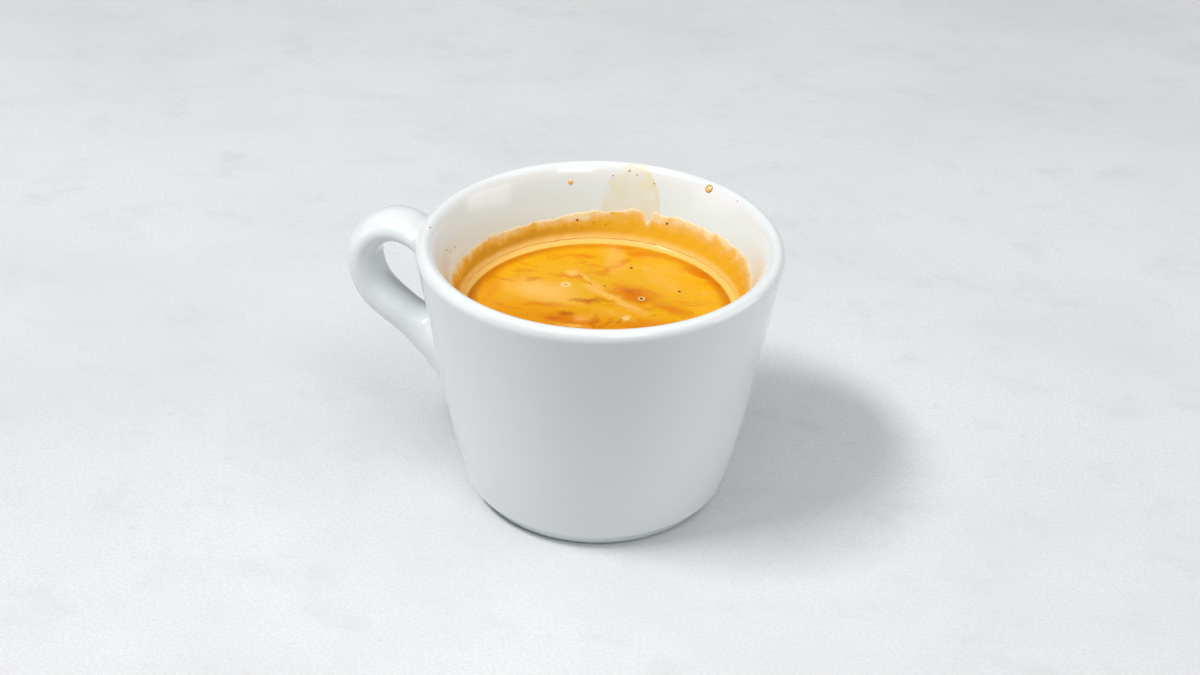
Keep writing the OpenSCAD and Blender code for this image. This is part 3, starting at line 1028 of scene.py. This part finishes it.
def floor_finish(stage):
    """Pale stone-like table with soft clouds, fine grain and a few grey flecks."""
    paint = Paint("pale_table")
    turned = paint.node("ShaderNodeMapping", {"Vector": paint.place,
                                              "Rotation": (0, 0, -stage.azimuth),
                                              "Scale": (0.75, 1.0, 1.0)}).outputs[0]
    cloud = paint.noise(turned, 0.013, 6.0, 0.62)[0]
    blotch = paint.noise(turned, 0.07, 5.0, 0.7)[0]
    grain = paint.noise(paint.place, 1.7, 4.0, 0.7)[0]
    flecks = paint.noise(turned, 0.22, 3.0, 0.5)[0]
    base = tuple(stage.floor)
    tint = paint.mix(paint.ease(cloud, 0.38, 0.68, 0, 0.75), base, tuple(c * 0.88 for c in base))
    tint = paint.mix(paint.ease(blotch, 0.50, 0.74, 0, 0.6), tint, tuple(c * 0.82 for c in base))
    tint = paint.mix(paint.ease(flecks, 0.66, 0.74, 0, 0.22), tint, tuple(c * 0.72 for c in base))
    tint = paint.mix(paint.ease(grain, 0.35, 0.65, 0, 0.5), tint, tuple(c * 0.78 for c in base))
    # The table falls into shade in front, past its lit middle
    x, y, _ = paint.parts(paint.place)
    ahead = paint.plus(paint.times(x, -math.sin(stage.azimuth)),
                       paint.times(y, math.cos(stage.azimuth)))
    shade = paint.ease(ahead, -62.0, -210.0, 0, 0.85)
    tint = paint.mix(shade, tint, (0.05, 0.05, 0.05))
    paint.set(base_color=tint, roughness=0.8)
    paint.bump(grain, 0.08 * MM, 0.6)
    return paint.material


def area_light(name, place, aim, size, power):
    """A soft light of a size (width, depth) at place, facing aim."""
    lamp = bpy.data.lights.new(name, "AREA")
    lamp.shape, lamp.energy = "RECTANGLE", power
    lamp.size, lamp.size_y = size
    made = bpy.data.objects.new(name, lamp)
    bpy.context.scene.collection.objects.link(made)
    made.location = place
    made.rotation_euler = (Vector(aim) - Vector(place)).to_track_quat("-Z", "Y").to_euler()


def place_camera(stage):
    """The camera on its ring round the cup, with its slight roll."""
    data = bpy.data.cameras.new("camera")
    data.lens, data.sensor_width = stage.lens, 36
    data.clip_start, data.clip_end = 0.01, 20
    made = bpy.data.objects.new("camera", data)
    bpy.context.scene.collection.objects.link(made)
    a, e = stage.azimuth, stage.elevation
    back = Vector((math.sin(a) * math.cos(e), -math.cos(a) * math.cos(e), math.sin(e)))
    aim = Vector((stage.aim_side * math.cos(a), stage.aim_side * math.sin(a), stage.aim_height))
    turn = (-back).to_track_quat("-Z", "Y").to_matrix().to_4x4()
    made.matrix_world = Matrix.Translation(aim + back * stage.distance) @ turn @ Matrix.Rotation(
        stage.roll, 4, "Z")
    bpy.context.scene.camera = made


# ---------------------------------------------------------------- operators

class ESPRESSO_OT_stage(bpy.types.Operator):
    """Make the table, the lights and the camera"""

    bl_idname = "espresso.stage"
    bl_label = "Stage"

    def execute(self, context):
        stage = context.scene.espresso_stage
        half = 1.5
        corners = [(-half, -half, 0), (half, -half, 0), (half, half, 0), (-half, half, 0)]
        floor = make_mesh("table_top", corners, [(0, 1, 2, 3)], floor_finish(stage), False)
        place_camera(stage)
        turn = Matrix.Rotation(stage.azimuth, 3, "Z")
        aim = (0, 0, 0.03)
        area_light("key_light", turn @ Vector((-0.52, -0.2, 0.98)), aim, (0.4, 0.16), stage.key)
        area_light("overhead_light", turn @ Vector((0.05, -0.12, 1.0)), aim, (1.3, 1.0), stage.overhead)
        area_light("fill_light", turn @ Vector((0.25, -0.66, 0.82)), aim, (0.4, 0.4), stage.fill)
        for name, side, strength in (("left_panel", -1, stage.left), ("right_panel", 1, stage.right)):
            area_light(name, turn @ Vector((0.9 * side, -0.05, 0.27)), aim, (0.6, 0.5), strength)
        world = bpy.data.worlds.new("studio")
        world.use_nodes = True
        sky = world.node_tree.nodes["Background"]
        sky.inputs["Color"].default_value = (1, 1, 1, 1)
        sky.inputs["Strength"].default_value = stage.ambient
        context.scene.world = world
        context.scene.view_settings.view_transform = "Standard"
        return {"FINISHED"}


class ESPRESSO_OT_cup(bpy.types.Operator):
    """Make the porcelain cup with its handle"""

    bl_idname = "espresso.cup"
    bl_label = "Cup"

    def execute(self, context):
        cup = context.scene.espresso_cup
        points, faces = build_cup(cup, context.scene.espresso_handle)
        piece = make_mesh("porcelain_cup", points, faces, glaze_finish(cup))
        finish_piece(piece, "porcelain", "cup")
        return {"FINISHED"}


class ESPRESSO_OT_drink(bpy.types.Operator):
    """Make the crema and finish the coffee below it"""

    bl_idname = "espresso.drink"
    bl_label = "Drink"

    def execute(self, context):
        drink, cup = context.scene.espresso_drink, context.scene.espresso_cup
        crema = build_crema(drink, cup, crema_finish(drink))
        bubbles = build_bubbles(drink, crema, plain_finish("bubble_pit", "6E3A0A", 0.2))
        finish_piece(crema, "crema", "crema")
        finish_piece(bubbles, "crema")
        pits = [on_drink(x, y, r, drink) for x, y, r in PITS]
        pits += [on_wall(turn, z, r, cup, 0.9) for turn, z, r in FILM_PITS]
        crema_shapes("open_pits", pits, "dome", plain_finish("pit", "5A2C06", 0.3))
        # Pale rings round the pits: partly pale foam, partly painted highlight
        rings = [on_drink(x, y, r, drink, 0.25) for x, y, r in RINGS]
        crema_shapes("bubble_rims_and_highlights", rings, "ring", plain_finish("foam", "F6CB80", 0.25))
        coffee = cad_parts["coffee"]
        coffee.data.materials.clear()
        coffee.data.materials.append(plain_finish("dark_coffee", "2A1006", 0.06))
        return {"FINISHED"}


class ESPRESSO_OT_splashes(bpy.types.Operator):
    """Make the drops and specks on the wall"""

    bl_idname = "espresso.splashes"
    bl_label = "Splashes"

    def execute(self, context):
        cup = context.scene.espresso_cup
        drops = [on_wall(*spot, cup) for spot in (DROP, BEAD)]
        specks = [on_wall(*spot, cup, 0.25) for spot in SPECKS]
        edge = [on_wall(*BEAD, cup, 0.8)]
        crema_shapes("amber_drops", drops, "dome", plain_finish("amber_drop", "E6C080", 0.08))
        crema_shapes("drop_edge", edge, "ring", plain_finish("dark_amber", "C89038", 0.1))
        crema_shapes("dried_specks", specks, "dome", plain_finish("dried", "A8762C", 0.5))
        return {"FINISHED"}


class ESPRESSO_OT_film(bpy.types.Operator):
    """Make the film of crema on the wall"""

    bl_idname = "espresso.film"
    bl_label = "Film"

    def execute(self, context):
        drink, cup = context.scene.espresso_drink, context.scene.espresso_cup
        finish_piece(build_film(drink, cup, film_finish()), "crema")
        return {"FINISHED"}


OPERATORS = (ESPRESSO_OT_stage, ESPRESSO_OT_cup, ESPRESSO_OT_drink, ESPRESSO_OT_film,
             ESPRESSO_OT_splashes)


class ESPRESSO_PT_panel(bpy.types.Panel):
    """Buttons for each part of the espresso"""

    bl_label = "Espresso"
    bl_idname = "ESPRESSO_PT_panel"
    bl_space_type = "VIEW_3D"
    bl_region_type = "UI"
    bl_category = "Espresso"

    def draw(self, context):
        for operator in OPERATORS:
            self.layout.operator(operator.bl_idname)


GROUPS = {
    "espresso_cup": CupSizes,
    "espresso_handle": HandleSizes,
    "espresso_drink": DrinkSizes,
    "espresso_stage": StageSettings,
}


def register():
    for cls in (*GROUPS.values(), *OPERATORS, ESPRESSO_PT_panel):
        bpy.utils.register_class(cls)
    for key, group in GROUPS.items():
        setattr(bpy.types.Scene, key, PointerProperty(type=group))


def unregister():
    for key in GROUPS:
        delattr(bpy.types.Scene, key)
    for cls in (ESPRESSO_PT_panel, *reversed(OPERATORS), *reversed(GROUPS.values())):
        bpy.utils.unregister_class(cls)


def main():
    """Builds everything."""
    register()
    bpy.ops.espresso.stage()
    bpy.ops.espresso.cup()
    bpy.ops.espresso.drink()
    bpy.ops.espresso.film()
    bpy.ops.espresso.splashes()


if __name__ == "__main__":
    main()
